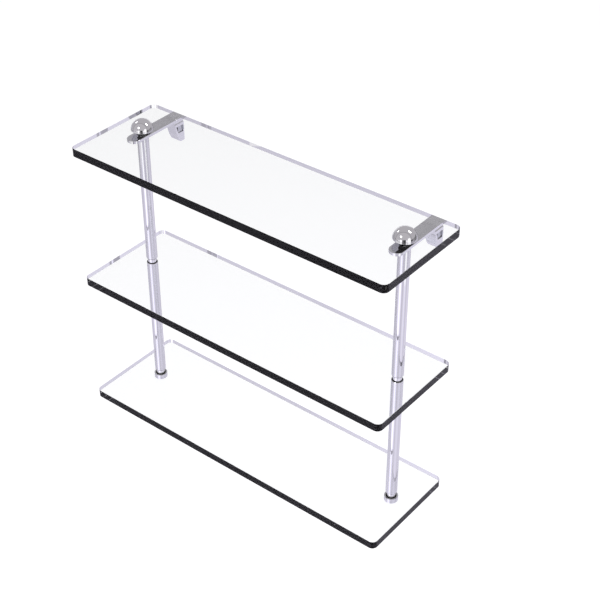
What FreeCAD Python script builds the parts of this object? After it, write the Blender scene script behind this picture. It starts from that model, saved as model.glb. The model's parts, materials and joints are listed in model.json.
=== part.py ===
import FreeCAD, Part
import math
import os
import re
import Sketcher

# Three glass shelves hang one under another from two chromed brackets on a wall.
# The origin lies on the face of the wall, midway between the two wall screws.
# X runs along the shelves, +Y points into the wall and +Z points up. Lengths are millimetres.

SIZES = (
    # glass shelves
    ("shelf_length", "406.4"),
    ("shelf_depth", "127.0"),
    ("shelf_thickness", "9.525"),
    ("shelf_corner_radius", "6.35"),
    ("shelf_arris", "0.2"),
    ("shelf_hole_diameter", "10.0"),
    ("wall_gap", "7.0"),
    # lines of posts
    ("post_inset", "31.75"),
    ("post_from_back", "50.8"),
    ("post_diameter", "12.7"),
    ("post_wall", "1.2"),
    ("post_length", "151.9"),
    ("post_end_chamfer", "0.4"),
    # threaded studs and the pieces they screw into
    ("stud_diameter", "6.35"),
    ("stud_end_chamfer", "0.6"),
    ("stud_end_gap", "0.5"),
    ("thread_clearance", "0.1"),
    ("plug_length", "12.0"),
    ("plug_grip", "10.0"),
    ("plug_braze_gap", "0.05"),
    ("finial_diameter", "24.6"),
    ("finial_height", "11.9"),
    ("finial_rim_chamfer", "0.3"),
    ("finial_grip", "7.0"),
    ("cap_diameter", "15.4"),
    ("cap_height", "6.5"),
    ("cap_edge_chamfer", "0.8"),
    ("cap_grip", "4.0"),
    # clear cushions between metal and glass
    ("washer_thickness", "0.25"),
    ("washer_inset", "0.35"),
    ("sleeve_clearance", "0.1"),
    # bracket arms
    ("arm_width", "15.875"),
    ("arm_thickness", "3.5"),
    ("arm_nose", "12.7"),
    ("arm_above_screw", "11.0"),
    ("arm_edge_chamfer", "0.3"),
    ("arm_hole_clearance", "0.2"),
    # wall blocks
    ("block_width", "12.7"),
    ("block_depth", "14.0"),
    ("block_drop", "26.5"),
    ("block_straight_front", "3.0"),
    ("block_toe_set_back", "7.2"),
    ("block_toe_round", "2.5"),
    ("neck_inset", "0.8"),
    ("neck_height", "3.85"),
    ("slot_lip", "1.75"),
    ("slot_front_wall", "2.0"),
    ("slot_slant", "3.0"),
    ("slot_ceiling", "3.7"),
    ("slot_floor", "4.5"),
    ("slot_mouth", "5.0"),
    # wall cleats and their screws
    ("cleat_recess", "1.0"),
    ("cleat_clearance", "0.25"),
    ("screw_hole_diameter", "3.8"),
    ("screw_head_diameter", "7.0"),
    ("set_screw_diameter", "3.0"),
    ("set_screw_from_wall", "3.6"),
    ("set_screw_recess", "3.25"),
    ("set_screw_socket", "0.9"),
    ("set_screw_socket_depth", "1.5"),
)

# Places that several pieces share, from the wall screws' height upwards and downwards.
POST_X = "(shelf_length / 2 - post_inset)"
POST_Y = "-(wall_gap + post_from_back)"
ARM_UNDERSIDE = "arm_above_screw"
TOP_SHELF = "(arm_above_screw + arm_thickness + washer_thickness)"
FINIAL_BASE = f"({TOP_SHELF} + shelf_thickness + washer_thickness)"
UPPER_POST = f"({ARM_UNDERSIDE} - post_length)"
MIDDLE_SHELF = f"({UPPER_POST} - washer_thickness - shelf_thickness)"
LOWER_POST = f"({MIDDLE_SHELF} - washer_thickness - post_length)"
BOTTOM_SHELF = f"({LOWER_POST} - washer_thickness - shelf_thickness)"
CAP_TOP = f"({BOTTOM_SHELF} - washer_thickness)"

# Sizes that follow from the ones above.
STUD_HOLE = "(stud_diameter + 2 * thread_clearance)"
SLEEVE_BORE = "(stud_diameter + 2 * sleeve_clearance)"
SLEEVE_OUTSIDE = "(shelf_hole_diameter - 2 * sleeve_clearance)"
POST_BORE = "(post_diameter - 2 * post_wall)"
GLASS_STACK = "(shelf_thickness + 2 * washer_thickness)"
BLOCK_BOTTOM = "(arm_above_screw - block_drop)"
SLOT_CEILING_DEPTH = "(block_depth - slot_front_wall)"
SLOT_FLOOR_DEPTH = f"({SLOT_CEILING_DEPTH} - slot_slant)"
CLEAT_FRONT = f"({SLOT_FLOOR_DEPTH} - cleat_clearance)"
CLEAT_FLOOR = "(slot_floor - cleat_clearance)"

SIDES = (("left", f"-{POST_X}"), ("right", POST_X))
LEVELS = (("top", TOP_SHELF), ("middle", MIDDLE_SHELF), ("bottom", BOTTOM_SHELF))
TOLERANCE = 1e-6

# The numbers by which a sketch knows its own axes and the points of a curve.
# The start of either axis is the sketch's origin.
AXIS = {"x": -1, "y": -2}
POINT = {"start": 1, "end": 2, "centre": 3}

doc = FreeCAD.newDocument("TieredGlassShelf")
sheet = doc.addObject("Spreadsheet::Sheet", "Sizes")
for row, (alias, value) in enumerate(SIZES, 1):
    sheet.set(f"A{row}", alias)
    sheet.set(f"B{row}", value)
    sheet.setAlias(f"B{row}", alias)
doc.recompute()

sub_parts = []


def number(text):
    """The value of a formula written with the sheet's names."""
    return float(sheet.evalExpression(text))


def bind(target, name, text):
    """Tie a property to a formula written with the sheet's names."""
    target.setExpression(name, re.sub(r"[a-z]\w*", r"Sizes.\g<0>", text))


def place(target, x, y, z):
    for axis, text in (("x", x), ("y", y), ("z", z)):
        bind(target, f"Placement.Base.{axis}", text)


def keep(target, label):
    """Name a finished sub-part."""
    target.Label = label
    sub_parts.append(target)


def new_body(name):
    return doc.addObject("PartDesign::Body", name + "_body")


def new_sketch(body, plane):
    sketch = body.newObject("Sketcher::SketchObject", "Sketch")
    support = [feature for feature in body.Origin.OriginFeatures if feature.Role == plane]
    sketch.AttachmentSupport = [(support[0], "")]
    sketch.MapMode = "FlatFace"
    return sketch


def dimension(sketch, kind, *parts_and_text):
    """Add a driving dimension whose value is a formula."""
    *parts, text = parts_and_text
    index = sketch.addConstraint(Sketcher.Constraint(kind, *parts, number(text)))
    bind(sketch, f"Constraints[{index}]", text)


def pin(sketch, geometry, point, x=None, y=None):
    """Dimension a point of the sketch from its origin, or set it on an axis."""
    for kind, axis, text in (("DistanceX", "y", x), ("DistanceY", "x", y)):
        if text == "0":
            sketch.addConstraint(Sketcher.Constraint("PointOnObject", geometry, POINT[point], AXIS[axis]))
        elif text is not None:
            dimension(sketch, kind, AXIS["x"], POINT["start"], geometry, POINT[point], text)


def circle(sketch, x, y, diameter):
    centre = FreeCAD.Vector(number(x), number(y), 0)
    geometry = Part.Circle(centre, FreeCAD.Vector(0, 0, 1), number(diameter) / 2)
    index = sketch.addGeometry(geometry, False)
    pin(sketch, index, "centre", x, y)
    dimension(sketch, "Diameter", index, diameter)


def arc_between(start, end, x=None, y=None):
    """A counter-clockwise arc whose centre is known along one axis."""
    chord = end - start
    if x is None:
        rise = (end.y - y) ** 2 - (start.y - y) ** 2
        x = (end.x ** 2 - start.x ** 2 + rise) / (2 * chord.x)
    else:
        run = (end.x - x) ** 2 - (start.x - x) ** 2
        y = (end.y ** 2 - start.y ** 2 + run) / (2 * chord.y)
    centre = FreeCAD.Vector(x, y, 0)
    angles = [math.atan2((point - centre).y, (point - centre).x) for point in (start, end)]
    full = Part.Circle(centre, FreeCAD.Vector(0, 0, 1), (start - centre).Length)
    return Part.ArcOfCircle(full, *angles)


def outline(sketch, corners, arcs=None):
    """Close a counter-clockwise outline through its corners.

    A side that is an arc is listed by its number, with one coordinate of its centre.
    """
    arcs = arcs or {}
    points = [FreeCAD.Vector(number(x), number(y), 0) for x, y in corners]
    first = sketch.GeometryCount
    for side, start in enumerate(points):
        end = points[(side + 1) % len(points)]
        if side in arcs:
            centre = {axis: number(text) for axis, text in arcs[side].items()}
            sketch.addGeometry(arc_between(start, end, **centre), False)
        else:
            sketch.addGeometry(Part.LineSegment(start, end), False)
    for side, (x, y) in enumerate(corners):
        pin(sketch, first + side, "start", x, y)
        following = first + (side + 1) % len(corners)
        joint = (first + side, POINT["end"], following, POINT["start"])
        sketch.addConstraint(Sketcher.Constraint("Coincident", *joint))
    for side, centre in arcs.items():
        pin(sketch, first + side, "centre", **centre)


def pad(body, sketch, length, side_type="One side"):
    feature = body.newObject("PartDesign::Pad", "Pad")
    feature.Profile = sketch
    feature.SideType = side_type
    bind(feature, "Length", length)
    doc.recompute()


def revolve(body, sketch):
    """Turn a profile about the sketch's upright axis."""
    feature = body.newObject("PartDesign::Revolution", "Revolution")
    feature.Profile = sketch
    feature.ReferenceAxis = (sketch, ["V_Axis"])
    feature.Angle = 360
    doc.recompute()


def check_cut(body, volume_before):
    doc.recompute()
    if body.Shape.Volume > volume_before - TOLERANCE:
        raise RuntimeError(f"{body.Name}: {body.Tip.Name} removed nothing")


def pocket_through(body, sketch, side_type="Symmetric"):
    before = body.Shape.Volume
    feature = body.newObject("PartDesign::Pocket", "Pocket")
    feature.Profile = sketch
    feature.Type = "ThroughAll"
    feature.SideType = side_type
    check_cut(body, before)


def groove(body, sketch):
    """Turn a profile about the sketch's level axis and cut it away."""
    before = body.Shape.Volume
    feature = body.newObject("PartDesign::Groove", "Groove")
    feature.Profile = sketch
    feature.ReferenceAxis = (sketch, ["H_Axis"])
    feature.Angle = 360
    check_cut(body, before)


def dress(body, kind, name, text, wanted):
    """Fillet or chamfer the edges that a test picks out."""
    base = body.Tip
    edges = [f"Edge{index}" for index, edge in enumerate(base.Shape.Edges, 1) if wanted(edge)]
    feature = body.newObject(f"PartDesign::{kind}", kind)
    feature.Base = (base, edges)
    bind(feature, name, text)
    doc.recompute()


def level_edge(edge):
    return edge.BoundBox.ZLength < TOLERANCE


def open_level_edge(edge):
    """A side of an outer outline, not the round edge of a hole."""
    return level_edge(edge) and not edge.isClosed()


def round_edge(diameter):
    """A test for level circles of one diameter."""
    radius = number(diameter) / 2

    def wanted(edge):
        return level_edge(edge) and abs(edge.BoundBox.XLength / 2 - radius) < TOLERANCE

    return wanted


def shelf(name, z):
    """A glass plate with two holes, rounded corners and a ground arris."""
    body = new_body(name)
    sketch = new_sketch(body, "XY_Plane")
    half = "shelf_length / 2"
    front = "-shelf_depth"
    outline(sketch, ((f"-{half}", front), (half, front), (half, "0"), (f"-{half}", "0")))
    for _, x in SIDES:
        circle(sketch, x, "-post_from_back", "shelf_hole_diameter")
    pad(body, sketch, "shelf_thickness")
    end = number(half)

    def corner(edge):
        return not level_edge(edge) and abs(abs(edge.CenterOfMass.x) - end) < TOLERANCE

    dress(body, "Fillet", "Radius", "shelf_corner_radius", corner)
    dress(body, "Chamfer", "Size", "shelf_arris", open_level_edge)
    place(body, "0", "-wall_gap", z)
    keep(body, name)


def post(name, x, z):
    """A tube between two shelves."""
    body = new_body(name)
    sketch = new_sketch(body, "XY_Plane")
    circle(sketch, "0", "0", "post_diameter")
    circle(sketch, "0", "0", POST_BORE)
    pad(body, sketch, "post_length")
    dress(body, "Chamfer", "Size", "post_end_chamfer", round_edge("post_diameter"))
    place(body, x, POST_Y, z)
    keep(body, name)


def stud(name, x, z, length):
    """A threaded rod through one shelf, drawn at its outer diameter."""
    body = new_body(name)
    sketch = new_sketch(body, "XY_Plane")
    circle(sketch, "0", "0", "stud_diameter")
    pad(body, sketch, length)
    dress(body, "Chamfer", "Size", "stud_end_chamfer", round_edge("stud_diameter"))
    place(body, x, POST_Y, z)
    keep(body, name)


def finial(name, x):
    """A turned dome with a blind threaded hole in its base."""
    body = new_body(name)
    sketch = new_sketch(body, "XZ_Plane")
    hole = f"{STUD_HOLE} / 2"
    depth = "finial_grip + stud_end_gap"
    corners = (
        (hole, "0"),
        ("finial_diameter / 2", "0"),
        ("0", "finial_height"),
        ("0", depth),
        (hole, depth),
    )
    outline(sketch, corners, arcs={1: {"x": "0"}})
    revolve(body, sketch)
    dress(body, "Chamfer", "Size", "finial_rim_chamfer", round_edge("finial_diameter"))
    place(body, x, POST_Y, FINIAL_BASE)
    keep(body, name)


def bottom_cap(name, x):
    """A low turned nut under the bottom shelf."""
    body = new_body(name)
    sketch = new_sketch(body, "XZ_Plane")
    hole = f"{STUD_HOLE} / 2"
    depth = "-(cap_grip + stud_end_gap)"
    corners = (
        ("0", depth),
        ("0", "-cap_height"),
        ("cap_diameter / 2", "-cap_height"),
        ("cap_diameter / 2", "0"),
        (hole, "0"),
        (hole, depth),
    )
    outline(sketch, corners)
    revolve(body, sketch)
    underside = -number("cap_height")
    rim = round_edge("cap_diameter")

    def lower_rim(edge):
        return rim(edge) and abs(edge.CenterOfMass.z - underside) < TOLERANCE

    dress(body, "Chamfer", "Size", "cap_edge_chamfer", lower_rim)
    place(body, x, POST_Y, CAP_TOP)
    keep(body, name)


def bracket_arm(name, x):
    """A flat bar from the wall to a round nose in front of the posts."""
    body = new_body(name)
    sketch = new_sketch(body, "XY_Plane")
    half = "arm_width / 2"
    reach = "wall_gap + post_from_back"
    nose = "-arm_nose"
    corners = ((f"-{half}", nose), (half, nose), (half, reach), (f"-{half}", reach))
    outline(sketch, corners, arcs={0: {"y": nose}})
    circle(sketch, "0", "0", "stud_diameter + 2 * arm_hole_clearance")
    pad(body, sketch, "arm_thickness")
    dress(body, "Chamfer", "Size", "arm_edge_chamfer", open_level_edge)
    place(body, x, POST_Y, ARM_UNDERSIDE)
    keep(body, name)


def wall_block(name, x):
    """A bellied block under the arm, slotted from side to side to slide on its cleat."""
    body = new_body(name)
    profile = new_sketch(body, "YZ_Plane")
    belly_top = "arm_above_screw - block_straight_front"
    corners = (
        ("0", BLOCK_BOTTOM),
        ("0", "arm_above_screw"),
        ("-block_depth", "arm_above_screw"),
        ("-block_depth", belly_top),
        ("block_toe_set_back - block_depth", BLOCK_BOTTOM),
    )
    outline(profile, corners, arcs={3: {"y": belly_top}})
    pad(body, profile, "block_width", "Symmetric")
    toe = FreeCAD.Vector(0, number("block_toe_set_back - block_depth"), number(BLOCK_BOTTOM))

    def toe_edge(edge):
        return edge.CenterOfMass.distanceToPoint(toe) < TOLERANCE

    dress(body, "Fillet", "Radius", "block_toe_round", toe_edge)
    cut_slot(body)
    cut_neck(body)
    hole = new_sketch(body, "XY_Plane")
    circle(hole, "0", "-set_screw_from_wall", "set_screw_diameter + 2 * thread_clearance")
    pocket_through(body, hole, "One side")
    place(body, x, "0", "0")
    keep(body, name)


def cut_slot(body):
    """Open the block's back with a mouth that widens to a slanted pocket."""
    sketch = new_sketch(body, "YZ_Plane")
    mouth = "slot_mouth / 2"
    corners = (
        ("0", f"-{mouth}"),
        ("0", mouth),
        ("-slot_lip", mouth),
        ("-slot_lip", "slot_ceiling"),
        (f"-{SLOT_CEILING_DEPTH}", "slot_ceiling"),
        (f"-{SLOT_FLOOR_DEPTH}", "-slot_floor"),
        ("-slot_lip", "-slot_floor"),
        ("-slot_lip", f"-{mouth}"),
    )
    outline(sketch, corners)
    pocket_through(body, sketch)


def cut_neck(body):
    """Relieve both sides of the block just under the arm."""
    sketch = new_sketch(body, "XZ_Plane")
    ledge = "arm_above_screw - neck_height"
    outside = "block_width / 2"
    inside = "block_width / 2 - neck_inset"
    for near, far in ((inside, outside), (f"-({outside})", f"-({inside})")):
        corners = ((near, ledge), (far, ledge), (far, "arm_above_screw"), (near, "arm_above_screw"))
        outline(sketch, corners)
    pocket_through(body, sketch)


def wall_cleat(name, x):
    """A T-shaped rail in the block's slot, screwed to the wall through its middle.

    Its foot fills the slot's mouth from side to side, and its head is a little shorter.
    """
    body = new_body(name)
    foot = new_sketch(body, "YZ_Plane")
    half_foot = "(slot_mouth / 2 - cleat_clearance)"
    back = "-(slot_lip + cleat_clearance)"
    corners = (("0", f"-{half_foot}"), ("0", half_foot), (back, half_foot), (back, f"-{half_foot}"))
    outline(foot, corners)
    pad(body, foot, "block_width", "Symmetric")
    head = new_sketch(body, "YZ_Plane")
    corners = (
        (back, f"-{CLEAT_FLOOR}"),
        (back, "slot_ceiling"),
        (f"-{CLEAT_FRONT}", "slot_ceiling"),
        (f"-{CLEAT_FRONT}", f"-{CLEAT_FLOOR}"),
    )
    outline(head, corners)
    pad(body, head, "block_width - 2 * cleat_recess", "Symmetric")
    screw = new_sketch(body, "YZ_Plane")
    shank = "screw_hole_diameter / 2"
    countersink = f"(screw_head_diameter - screw_hole_diameter) / 2 - {CLEAT_FRONT}"
    corners = (
        (f"-{CLEAT_FRONT}", "0"),
        ("0", "0"),
        ("0", shank),
        (countersink, shank),
        (f"-{CLEAT_FRONT}", "screw_head_diameter / 2"),
    )
    outline(screw, corners)
    groove(body, screw)
    place(body, x, "0", "0")
    keep(body, name)


def set_screw(name, x):
    """A headless screw up through the block, tight against the cleat."""
    shank = doc.addObject("Part::Cylinder", name + "_shank")
    bind(shank, "Radius", "set_screw_diameter / 2")
    length = f"-{CLEAT_FLOOR} - {BLOCK_BOTTOM} - set_screw_recess"
    bind(shank, "Height", length)
    socket = doc.addObject("Part::Prism", name + "_socket")
    socket.Polygon = 6
    bind(socket, "Circumradius", "set_screw_socket")
    bind(socket, "Height", "set_screw_socket_depth")
    screw = doc.addObject("Part::Cut", name + "_cut")
    screw.Base = shank
    screw.Tool = socket
    place(screw, x, "-set_screw_from_wall", f"{BLOCK_BOTTOM} + set_screw_recess")
    keep(screw, name)


def ring(name, outside, bore, height, x, z):
    """A plain ring, as one of a group."""
    disc = doc.addObject("Part::Cylinder", name + "_disc")
    bind(disc, "Radius", f"{outside} / 2")
    bind(disc, "Height", height)
    hole = doc.addObject("Part::Cylinder", name + "_hole")
    bind(hole, "Radius", f"{bore} / 2")
    bind(hole, "Height", height)
    cut = doc.addObject("Part::Cut", name + "_ring")
    cut.Base = disc
    cut.Tool = hole
    place(cut, x, "0", z)
    return cut


def group(name, rings, x, z):
    """Keep equal rings on the post lines as one sub-part of separate solids."""
    compound = doc.addObject("Part::Compound", name + "_group")
    compound.Links = rings
    place(compound, x, POST_Y, z)
    keep(compound, name)


def plugs(name, x, z):
    """Two threaded plugs brazed flush into the ends of one post."""
    outside = f"({POST_BORE} - 2 * plug_braze_gap)"
    ends = ("0", "post_length - plug_length")
    rings = [ring(name, outside, STUD_HOLE, "plug_length", "0", end) for end in ends]
    group(name, rings, x, z)


def washers(name, z):
    """Four thin clear washers, over and under the two holes of a shelf."""
    outside = "(post_diameter - 2 * washer_inset)"
    faces = ("-washer_thickness", "shelf_thickness")
    rings = [
        ring(name, outside, SLEEVE_BORE, "washer_thickness", x, face)
        for _, x in SIDES
        for face in faces
    ]
    group(name, rings, "0", z)


def sleeves(name, z):
    """Two clear sleeves that line the holes of a shelf."""
    rings = [ring(name, SLEEVE_OUTSIDE, SLEEVE_BORE, "shelf_thickness", x, "0") for _, x in SIDES]
    group(name, rings, "0", z)


for level, z in LEVELS:
    shelf(f"{level}_shelf", z)
    sleeves(f"{level}_hole_sleeves", z)
    washers(f"{level}_washers", z)

for side, x in SIDES:
    finial(f"{side}_finial", x)
    bracket_arm(f"{side}_bracket_arm", x)
    wall_block(f"{side}_wall_block", x)
    wall_cleat(f"{side}_wall_cleat", x)
    set_screw(f"{side}_set_screw", x)
    for tier, z in (("upper", UPPER_POST), ("lower", LOWER_POST)):
        post(f"{side}_{tier}_post", x, z)
        plugs(f"{side}_{tier}_post_plugs", x, z)
    bottom_cap(f"{side}_bottom_cap", x)
    stud(
        f"{side}_top_stud",
        x,
        f"{ARM_UNDERSIDE} - plug_grip",
        f"plug_grip + arm_thickness + {GLASS_STACK} + finial_grip",
    )
    stud(
        f"{side}_middle_stud",
        x,
        f"{MIDDLE_SHELF} - washer_thickness - plug_grip",
        f"2 * plug_grip + {GLASS_STACK}",
    )
    stud(
        f"{side}_bottom_stud",
        x,
        f"{CAP_TOP} - cap_grip",
        f"cap_grip + {GLASS_STACK} + plug_grip",
    )

doc.recompute()
for item in doc.Objects:
    if "Invalid" in item.State or "Error" in item.State:
        raise RuntimeError(f"{item.Name} failed: {item.State}")
for item in sub_parts:
    if item.Shape.isNull() or not item.Shape.isValid():
        raise RuntimeError(f"{item.Label} has no valid shape")

os.makedirs("parts", exist_ok=True)
for item in sub_parts:
    item.Shape.exportStep(f"parts/{item.Label}.step")
    box = item.Shape.BoundBox
    spans = f"z {box.ZMin:.2f} to {box.ZMax:.2f}"
    print(f"{item.Label}: {len(item.Shape.Solids)} solids, {item.Shape.Volume:.1f} mm3, {spans}")
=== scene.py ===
# %% [markdown]
# # A wall shelf of glass and chrome
#
# Three plates of glass hang one under another from two chromed brackets. The solids come from CAD
# and stay as they are. This lesson dresses them: it makes the materials, lights a small studio and
# sets the camera where the photographer stood. Lengths are metres, unless a name ends in mm.

# %% Load the CAD frame
import bmesh
import bpy
import json
import math
from mathutils import Matrix, Vector


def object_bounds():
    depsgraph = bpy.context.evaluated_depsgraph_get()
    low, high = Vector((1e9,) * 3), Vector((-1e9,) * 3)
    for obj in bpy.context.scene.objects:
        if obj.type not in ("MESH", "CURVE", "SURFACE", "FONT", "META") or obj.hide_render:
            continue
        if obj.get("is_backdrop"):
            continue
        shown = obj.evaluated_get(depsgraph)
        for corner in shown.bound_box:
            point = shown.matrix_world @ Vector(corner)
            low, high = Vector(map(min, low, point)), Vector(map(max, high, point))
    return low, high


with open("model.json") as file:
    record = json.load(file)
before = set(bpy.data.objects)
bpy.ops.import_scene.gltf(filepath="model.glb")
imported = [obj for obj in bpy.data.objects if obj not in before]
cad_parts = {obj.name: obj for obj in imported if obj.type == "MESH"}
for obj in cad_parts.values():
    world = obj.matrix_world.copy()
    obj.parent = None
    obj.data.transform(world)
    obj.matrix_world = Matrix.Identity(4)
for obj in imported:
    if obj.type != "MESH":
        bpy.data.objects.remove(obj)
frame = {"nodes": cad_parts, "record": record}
nodes = frame["nodes"]
cad_low, cad_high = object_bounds()
MM = 0.001
print(len(nodes), "CAD nodes from", tuple(cad_low), "to", tuple(cad_high))

# %% [markdown]
# ## Helpers for nodes
#
# Colours are easiest to compare with a photograph as sRGB hex values, but shaders work in linear
# light, so one function converts them. A second function adds a node, fills its sockets and makes
# its links, and a third does so for sums. They keep each material short enough to read at a glance.

# %% Helpers for colours and nodes
def colour(hex_text):
    """Linear RGBA from an sRGB hex value such as #D3D0D9."""
    linear = []
    for start in (1, 3, 5):
        c = int(hex_text[start:start + 2], 16) / 255
        linear.append(c / 12.92 if c <= 0.04045 else ((c + 0.055) / 1.055) ** 2.4)
    return (*linear, 1.0)


def add(tree, kind, sockets=None, **settings):
    """Add a node. A socket gets a plain value, or a link where the value is an output."""
    node = tree.nodes.new(kind)
    for name, value in settings.items():
        setattr(node, name, value)
    for name, value in (sockets or {}).items():
        if isinstance(value, bpy.types.NodeSocket):
            tree.links.new(value, node.inputs[name])
        else:
            node.inputs[name].default_value = value
    return node


def maths(tree, operation, *values):
    """The result of a new Math node. Its values are numbers or outputs."""
    node = add(tree, "ShaderNodeMath", dict(enumerate(values)), operation=operation)
    return node.outputs["Value"]


def new_material(name):
    """An empty node material and its output node."""
    material = bpy.data.materials.new(name)
    material.use_nodes = True
    material.node_tree.nodes.clear()
    output = material.node_tree.nodes.new("ShaderNodeOutputMaterial")
    return material, material.node_tree, output


print("middle grey in linear light:", colour("#808080"))

# %% [markdown]
# ## Uneven surfaces
#
# No real surface is quite even. Each material of the shelf follows a grain: noise of one size, fixed
# to the object. It moves the gloss between two limits, and in metals it also mixes two close colours.

# %% Helpers for grain
def grain(tree, size_mm, detail=2.0):
    """Noise with a grain of one size, fixed to the object."""
    place = add(tree, "ShaderNodeTexCoord")
    noise = add(tree, "ShaderNodeTexNoise", {
        "Vector": place.outputs["Object"],
        "Scale": 1 / (size_mm * MM),
        "Detail": detail,
    })
    return noise.outputs["Fac"]


def blend(tree, factor, dark, light):
    """A colour that moves between two hex values with a factor."""
    mix = add(tree, "ShaderNodeMix", {
        "Factor": factor,
        "A": colour(dark),
        "B": colour(light),
    }, data_type="RGBA")
    return mix.outputs["Result"]


def between(tree, factor, low, high):
    """A number that moves between two limits with a factor."""
    span = add(tree, "ShaderNodeMapRange", {"Value": factor, "To Min": low, "To Max": high})
    return span.outputs["Result"]


def metal(name, dark, light, grain_mm, detail, smoothest, roughest):
    """A metal whose colour and gloss follow a grain."""
    material, tree, output = new_material(name)
    factor = grain(tree, grain_mm, detail)
    shader = add(tree, "ShaderNodeBsdfPrincipled", {
        "Base Color": blend(tree, factor, dark, light),
        "Metallic": 1.0,
        "Roughness": between(tree, factor, smoothest, roughest),
    })
    tree.links.new(shader.outputs["BSDF"], output.inputs["Surface"])
    return material


def clear(name, tint, index, grain_mm, smoothest, roughest):
    """A clear solid that bends light by an index, and whose gloss follows a grain."""
    material, tree, output = new_material(name)
    shader = add(tree, "ShaderNodeBsdfPrincipled", {
        "Base Color": colour(tint),
        "Roughness": between(tree, grain(tree, grain_mm), smoothest, roughest),
        "IOR": index,
        "Transmission Weight": 1.0,
    })
    tree.links.new(shader.outputs["BSDF"], output.inputs["Surface"])
    return material


print("a grain of 1 mm has a noise scale of", 1 / MM)

# %% [markdown]
# ## Chrome plate
#
# The posts, finials, arms and blocks are brass, polished and then plated with a bright film of
# chromium. It has hardly any colour of its own: what it shows is the studio, the lilac paper below
# and the grey ceiling above. The buffing wheel leaves a faint unevenness: the gloss varies a little
# over a few millimetres, and that is all that keeps it from being a perfect mirror.

# %% Chrome plate
CHROME_BUFFING_MM = 6.0

chrome = metal(
    "polished_chrome_plate", "#EEEEEF", "#F2F2F3", CHROME_BUFFING_MM,
    detail=3.0, smoothest=0.008, roughest=0.02,
)
print("made", chrome.name)

# %% [markdown]
# ## Plate glass
#
# The shelves are tempered plate glass, 9.5 mm thick, with polished edges. Light that enters an edge
# is trapped between the two faces and travels far inside, so the near edges look almost black while
# the faces stay clear. That comes from refraction and from the light paths set up below, not from a
# painted edge. Real glass bends light by an index of about 1.5. The far edges in the photograph show
# a band of only 5.2 mm through the top face, and the blocks under the glass sit lower than they
# would, which gives 1.3 instead.

# %% Plate glass
GLASS_INDEX = 1.3
GLASS_SMEAR_MM = 40.0

glass = clear(
    "tempered_plate_glass", "#F6F7F7", GLASS_INDEX, GLASS_SMEAR_MM,
    smoothest=0.0, roughest=0.004,
)
print("made", glass.name)

# %% [markdown]
# ## The hidden metals and the clear cushions
#
# The studs, cleats and set screws are steel with a bright zinc plate, which is greyer and less
# glossy than chrome. The plugs in the posts are bare turned brass. The washers and sleeves are soft
# clear vinyl, a little cloudy beside the glass.

# %% Zinc plate, brass and vinyl
METAL_GRAIN_MM = 2.0
VINYL_INDEX = 1.5
VINYL_CLOUD_MM = 3.0

zinc = metal(
    "bright_zinc_plate", "#C4C6CB", "#DBDDE1", METAL_GRAIN_MM,
    detail=4.0, smoothest=0.15, roughest=0.3,
)
brass = metal(
    "turned_brass", "#B8975A", "#D2B676", METAL_GRAIN_MM,
    detail=4.0, smoothest=0.125, roughest=0.25,
)
vinyl = clear(
    "clear_soft_vinyl", "#F4F6F6", VINYL_INDEX, VINYL_CLOUD_MM,
    smoothest=0.05, roughest=0.15,
)
print("made", zinc.name, brass.name, vinyl.name)

# %% [markdown]
# ## Dressing the nodes
#
# The record names a material slot for every node, so the finishes are handed out by slot and no
# node can be missed.

# %% Give each node its finish
finishes = {
    "chrome_plated_brass": chrome,
    "clear_glass": glass,
    "zinc_plated_steel": zinc,
    "brass": brass,
    "clear_vinyl": vinyl,
}
for row in frame["record"]["subparts"]:
    materials = nodes[row["node"]].data.materials
    materials.clear()
    materials.append(finishes[row["material_slot"]])
print("finishes:", {slot: material.name for slot, material in finishes.items()})

# %% [markdown]
# ## The camera
#
# The angle and the lens were found by laying the known shelf over the photograph: from the right
# front, looking down on it, with a short telephoto lens.

# %% Camera
CAMERA_PLACE = Vector((0.76014, -0.95773, 0.72472))
CAMERA_AZIMUTH = 38.483
CAMERA_ELEVATION = 35.808
CAMERA_LENS_MM = 81.18
CAMERA_SENSOR_MM = 36.0


def towards(azimuth, elevation):
    """The unit vector from the shelf towards a place round it, as seen from the front."""
    a = math.radians(azimuth)
    e = math.radians(elevation)
    return Vector((math.sin(a) * math.cos(e), -math.cos(a) * math.cos(e), math.sin(e)))


view = towards(CAMERA_AZIMUTH, CAMERA_ELEVATION)
camera = bpy.data.objects.new("camera", bpy.data.cameras.new("camera"))
bpy.context.scene.collection.objects.link(camera)
camera.data.lens = CAMERA_LENS_MM
camera.data.sensor_width = CAMERA_SENSOR_MM
camera.location = CAMERA_PLACE
camera.rotation_mode = "QUATERNION"
camera.rotation_quaternion = view.to_track_quat("Z", "Y")
bpy.context.scene.camera = camera
bpy.context.scene.view_settings.view_transform = "Standard"
print("camera at", tuple(CAMERA_PLACE), "with a lens of", CAMERA_LENS_MM, "mm")

# %% [markdown]
# ## Light paths
#
# Two rules about light hold everywhere in the studio, so they are made once. What the camera sees
# straight, or straight through glass, is a white background. And light is spent on its way: each
# turn at a mirror, or at a glass face from inside, costs five, each pass through a glass face costs
# one, and light that has spent its budget is lost. So a mirror image of a mirror image under the
# glass is black, and so are the near edges of the shelves, where light runs to and fro between the
# faces. Turns and passes are whole numbers, so the limits before the first and the second lie
# halfway.

# %% Helper for light paths
FIRST = 0.5
SECOND = 1.5
TURN_COST = 5.0
LIGHT_BUDGET = 16.5


def light_paths(tree):
    """The path node, a factor for light on a straight way, and one for light within its budget."""
    path = add(tree, "ShaderNodeLightPath")
    turns = path.outputs["Glossy Depth"]
    unturned = maths(tree, "LESS_THAN", turns, FIRST)
    through = maths(tree, "MULTIPLY", path.outputs["Is Transmission Ray"], unturned)
    straight = maths(tree, "MAXIMUM", path.outputs["Is Camera Ray"], through)
    spent = maths(tree, "MULTIPLY_ADD", turns, TURN_COST, path.outputs["Transmission Depth"])
    alive = maths(tree, "LESS_THAN", spent, LIGHT_BUDGET)
    return path, straight, alive


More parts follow.
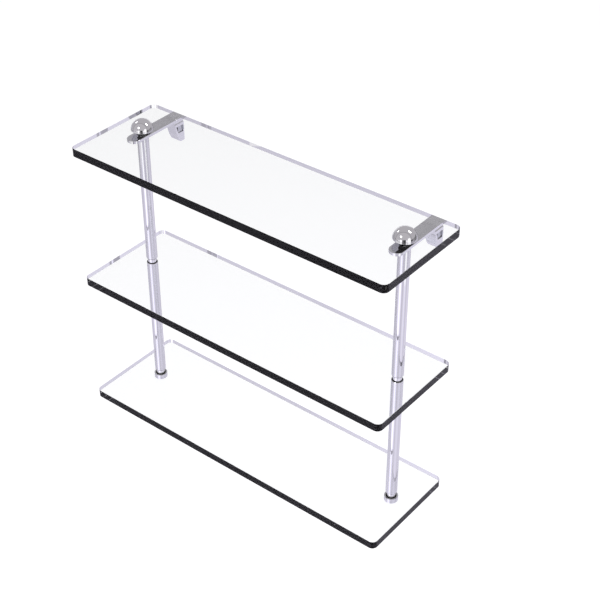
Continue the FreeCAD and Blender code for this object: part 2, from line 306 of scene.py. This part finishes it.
print("light makes at most", int(LIGHT_BUDGET // TURN_COST), "turns before it is lost")

# %% [markdown]
# ## The paper
#
# The shelf hangs high over a sweep of pale lilac paper. What the camera sees of it is lifted to
# white, and it still takes the soft shadow. Metal gets a share of that lift, so the posts show the
# paper's lilac. Round posts are mirrors that show the paper on all sides at once, drawn into upright
# stripes, so pools of light are painted on the paper: the paper itself glows with them, and no lamp
# makes them. The painted pools in front are the white stripe down each post. The paper is far below,
# so all four posts see the pools from nearly the same side and show the same stripes.

# %% Paper floor
FLOOR_LEVEL = cad_low.z - 1.3
FLOOR_SIZE = 16.0
FLOOR_GLOW = 0.56
METAL_SHARE = 0.15
PAPER_FIBRE_MM = 4.0
# Name, direction in degrees, distance, half width, half length and brightness of each painted pool of
# light.
PAINTED_POOLS = (
    ("front", 0.0, 2.4, 1.3, 1.7, 0.95),
    ("near", 0.0, 1.35, 0.55, 0.9, 0.45),
    ("right", 76.0, 2.5, 1.2, 1.7, 0.38),
    ("back", 141.0, 2.5, 1.4, 1.4, 0.26),
    ("left", -40.0, 2.5, 1.2, 1.2, 0.09),
    ("below", -58.0, 0.75, 0.9, 0.9, 0.36),
)


def stage_object(name, shape, material):
    """Turn a bmesh into an object of the studio, which isn't part of the shelf."""
    mesh = bpy.data.meshes.new(name)
    shape.to_mesh(mesh)
    shape.free()
    mesh.materials.append(material)
    item = bpy.data.objects.new(name, mesh)
    bpy.context.scene.collection.objects.link(item)
    item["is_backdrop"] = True
    return item


def painted_pools_of_light(tree):
    """The brightness of all the painted pools of light together, a glow painted on the paper. Each
    fades from its middle to its rim.
    """
    place = add(tree, "ShaderNodeTexCoord")
    total = 0.0
    for name, azimuth, distance, width, length, brightness in PAINTED_POOLS:
        middle = towards(azimuth, 0) * distance
        middle.z = FLOOR_LEVEL
        spot = add(tree, "ShaderNodeMapping", {
            "Vector": place.outputs["Object"],
            "Location": middle,
            "Rotation": (0, 0, math.radians(azimuth)),
            "Scale": (width, length, 1),
        }, vector_type="TEXTURE", label=name)
        fade = add(tree, "ShaderNodeTexGradient", {
            "Vector": spot.outputs["Vector"],
        }, gradient_type="SPHERICAL")
        total = maths(tree, "MULTIPLY_ADD", fade.outputs["Fac"], brightness, total)
    return total


def paper_floor():
    material, tree, output = new_material("lilac_paper_floor_painted_pools")
    tint = blend(tree, grain(tree, PAPER_FIBRE_MM), "#E7E4F6", "#EAE7F9")
    paper = add(tree, "ShaderNodeBsdfDiffuse", {"Color": tint})
    # Painted light: the pools are a glow of the paper itself, not light from lamps.
    pools = add(tree, "ShaderNodeEmission", {"Color": tint, "Strength": painted_pools_of_light(tree)})
    path, straight, alive = light_paths(tree)
    mirrored = maths(tree, "MULTIPLY", path.outputs["Is Glossy Ray"], METAL_SHARE)
    seen = maths(tree, "MAXIMUM", mirrored, straight)
    glow = add(tree, "ShaderNodeEmission", {
        "Color": colour("#FAFFE7"),
        "Strength": maths(tree, "MULTIPLY", seen, FLOOR_GLOW),
    })
    lit = add(tree, "ShaderNodeAddShader", {
        0: paper.outputs["BSDF"],
        1: pools.outputs["Emission"],
    })
    both = add(tree, "ShaderNodeAddShader", {
        0: lit.outputs["Shader"],
        1: glow.outputs["Emission"],
    })
    shown = add(tree, "ShaderNodeMixShader", {0: alive, 2: both.outputs["Shader"]})
    tree.links.new(shown.outputs["Shader"], output.inputs["Surface"])
    return material


shape = bmesh.new()
bmesh.ops.create_grid(shape, x_segments=1, y_segments=1, size=FLOOR_SIZE / 2)
bmesh.ops.translate(shape, verts=shape.verts, vec=(0, 0, FLOOR_LEVEL))
stage_object("floor", shape, paper_floor())
print("floor at", round(FLOOR_LEVEL, 3), "m with", len(PAINTED_POOLS), "pools of light")

# %% [markdown]
# ## The room
#
# All round and above is a room in two greys with a darker line between them, which the domes
# reflect. The line is a wide ring round one direction, in front of the shelf, so the greys follow
# the angle from that direction.

# %% Room
ROOM_FRONT = towards(20.0, 10.0)
# Cosine of the angle from that direction, and the grey there.
ROOM_GREYS = (
    (0.18, "#B7B4B9"),
    (0.23, "#9A979C"),
    (0.27, "#9A979C"),
    (0.32, "#BEBBC0"),
)

world = bpy.data.worlds.new("studio")
bpy.context.scene.world = world
world.use_nodes = True
room = world.node_tree
room.nodes.clear()
_, room_straight, room_alive = light_paths(room)
room_place = add(room, "ShaderNodeTexCoord")
frontness = add(room, "ShaderNodeVectorMath", {
    0: room_place.outputs["Generated"],
    1: ROOM_FRONT,
}, operation="DOT_PRODUCT")
greys = add(room, "ShaderNodeValToRGB", {"Fac": frontness.outputs["Value"]})
stops = greys.color_ramp.elements
for position, shade in ROOM_GREYS:
    stops.new(position).color = colour(shade)
# A new ramp has a stop at each end, and neither is wanted.
stops.remove(stops[0])
stops.remove(stops[-1])
room_colour = add(room, "ShaderNodeMix", {
    "Factor": room_straight,
    "A": greys.outputs["Color"],
    "B": colour("#FFFFFF"),
}, data_type="RGBA")
background = add(room, "ShaderNodeBackground", {
    "Color": room_colour.outputs["Result"],
    "Strength": room_alive,
})
add(room, "ShaderNodeOutputWorld", {"Surface": background.outputs["Background"]})
print("room with", len(stops), "stops of grey")

# %% [markdown]
# ## Softboxes and an overhead lamp
#
# Three softboxes stand round the shelf. They are what the domes of the finials show as small white
# windows. Light from them counts only up to the first mirror, so no softbox shows again in the edges
# of the glass. A wide overhead lamp lights the paper evenly. Mirrors don't show it, because the tops
# of the domes in the photograph are plain grey.

# %% Lamps
TARGET = Vector((0.0, -0.058, 0.03))
SOFTBOX_DISTANCE = 1.7
SOFTBOX_RADIANCE = 6.0
# Name, azimuth and elevation in degrees, width and height.
SOFTBOXES = (
    ("front", -5.0, 36.0, 0.4, 0.36),
    ("back_right", 139.0, 51.0, 0.6, 0.26),
    ("left", -88.0, 34.0, 0.34, 0.13),
)
OVERHEAD_PLACE = Vector((0.0, 0.5, 4.0))
OVERHEAD_SIZE = 4.0
OVERHEAD_WATTS = 84.0


def area_lamp(name, width, height, watts, place, away, side):
    """A flat lamp at a place. Its back faces away, and its width runs along side."""
    lamp = bpy.data.lights.new(name, "AREA")
    lamp.shape = "RECTANGLE"
    lamp.size = width
    lamp.size_y = height
    lamp.energy = watts
    lamp.use_nodes = True
    tree = lamp.node_tree
    tree.nodes.clear()
    path = add(tree, "ShaderNodeLightPath")
    once = maths(tree, "LESS_THAN", path.outputs["Glossy Depth"], SECOND)
    shine = add(tree, "ShaderNodeEmission", {"Strength": once})
    add(tree, "ShaderNodeOutputLight", {"Surface": shine.outputs["Emission"]})
    item = bpy.data.objects.new(name, lamp)
    item.location = place
    item.rotation_mode = "QUATERNION"
    item.rotation_quaternion = Matrix((side, away.cross(side), away)).transposed().to_quaternion()
    bpy.context.scene.collection.objects.link(item)
    print(name, "at", tuple(round(c, 2) for c in place), round(watts, 2), "W")
    return item


for name, azimuth, elevation, width, height in SOFTBOXES:
    away = towards(azimuth, elevation)
    watts = SOFTBOX_RADIANCE * math.pi * width * height
    place = TARGET + away * SOFTBOX_DISTANCE
    area_lamp(f"{name}_softbox", width, height, watts, place, away, view.cross(away).normalized())
overhead = area_lamp(
    "overhead", OVERHEAD_SIZE, OVERHEAD_SIZE, OVERHEAD_WATTS, OVERHEAD_PLACE,
    away=Vector((0, 0, 1)), side=Vector((1, 0, 0)),
)
overhead.visible_glossy = False
overhead.visible_transmission = False

# %% [markdown]
# ## Cards for the domes to reflect
#
# Low on each dome the photograph shows a row of bright and dark upright panels, such as windows and
# a doorway. Cards stand in for them. Only mirrors see the cards: they cast no shadow or light on the
# paper, and the camera looks through them. Light that has turned twice and been in glass passes
# through them too, so they hardly show in the edges of the shelves.

# %% Cards
CARD_DISTANCE = 2.2
CARD_BRIGHTNESS = 1.45
# Name, azimuth, width, lowest and highest elevation, all in degrees, and colour.
CARDS = (
    ("pale_left_panel", -32.0, 22.0, -30.0, -1.0, "#CBC9CE"),
    ("pale_front_panel", -12.0, 18.0, -30.0, 4.0, "#CFCDD2"),
    ("front_window", 5.5, 18.0, -34.0, 11.0, "#F4F3F6"),
    ("door_frame", 20.0, 12.0, -30.0, 14.0, "#656367"),
    ("dark_doorway", 36.0, 20.0, -30.0, 15.0, "#3C3C3E"),
    ("right_window", 55.0, 17.0, -30.0, 13.0, "#D8D6DB"),
    ("tall_window", 75.0, 22.0, -34.0, 25.0, "#EEEDF0"),
    ("dark_corner", 95.0, 17.0, -18.0, 6.0, "#3E3E40"),
    ("grey_right_wall", 116.0, 24.0, -17.0, 6.0, "#777579"),
    ("dim_right_wall", 143.0, 30.0, -16.0, 4.0, "#606063"),
    ("bright_back_wall", -136.0, 56.0, -26.0, 3.0, "#D3D2D6"),
    ("grey_left_wall", -85.0, 46.0, -30.0, 20.0, "#98969B"),
)


def card_face(name, hex_text):
    material, tree, output = new_material(name)
    path, straight, _ = light_paths(tree)
    face = add(tree, "ShaderNodeEmission", {
        "Color": colour(hex_text),
        "Strength": CARD_BRIGHTNESS,
    })
    window = add(tree, "ShaderNodeBsdfTransparent")
    turned_twice = maths(tree, "GREATER_THAN", path.outputs["Glossy Depth"], SECOND)
    been_in_glass = maths(tree, "GREATER_THAN", path.outputs["Transmission Depth"], FIRST)
    trapped = maths(tree, "MULTIPLY", turned_twice, been_in_glass)
    shown = add(tree, "ShaderNodeMixShader", {
        0: maths(tree, "MAXIMUM", straight, trapped),
        1: face.outputs["Emission"],
        2: window.outputs["BSDF"],
    })
    tree.links.new(shown.outputs["Shader"], output.inputs["Surface"])
    return material


upright = Matrix.Rotation(math.radians(90), 4, "X")
for name, azimuth, width, low, high, shade in CARDS:
    bottom = CARD_DISTANCE * math.tan(math.radians(low))
    top = CARD_DISTANCE * math.tan(math.radians(high))
    across = 2 * CARD_DISTANCE * math.tan(math.radians(width / 2))
    middle = TARGET + towards(azimuth, 0) * CARD_DISTANCE + Vector((0, 0, (bottom + top) / 2))
    turn = Matrix.Rotation(math.radians(azimuth), 4, "Z") @ upright
    stretch = Matrix.Diagonal((across, top - bottom, 1, 1))
    whole = Matrix.Translation(middle) @ turn @ stretch
    # The grid starts as a square of one metre, and the matrix stretches it to the card.
    shape = bmesh.new()
    bmesh.ops.create_grid(shape, x_segments=1, y_segments=1, size=1 / 2, matrix=whole)
    card = stage_object(name, shape, card_face(name, shade))
    card.visible_diffuse = False
    card.visible_shadow = False
print(len(CARDS), "cards")

# %% [markdown]
# ## Sizes, and the end
#
# The box of the dressed model is measured here, to set beside the box of the CAD model from the
# start. The dressed model must stay in the box of the CAD model.

# %% Measure the sizes
low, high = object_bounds()
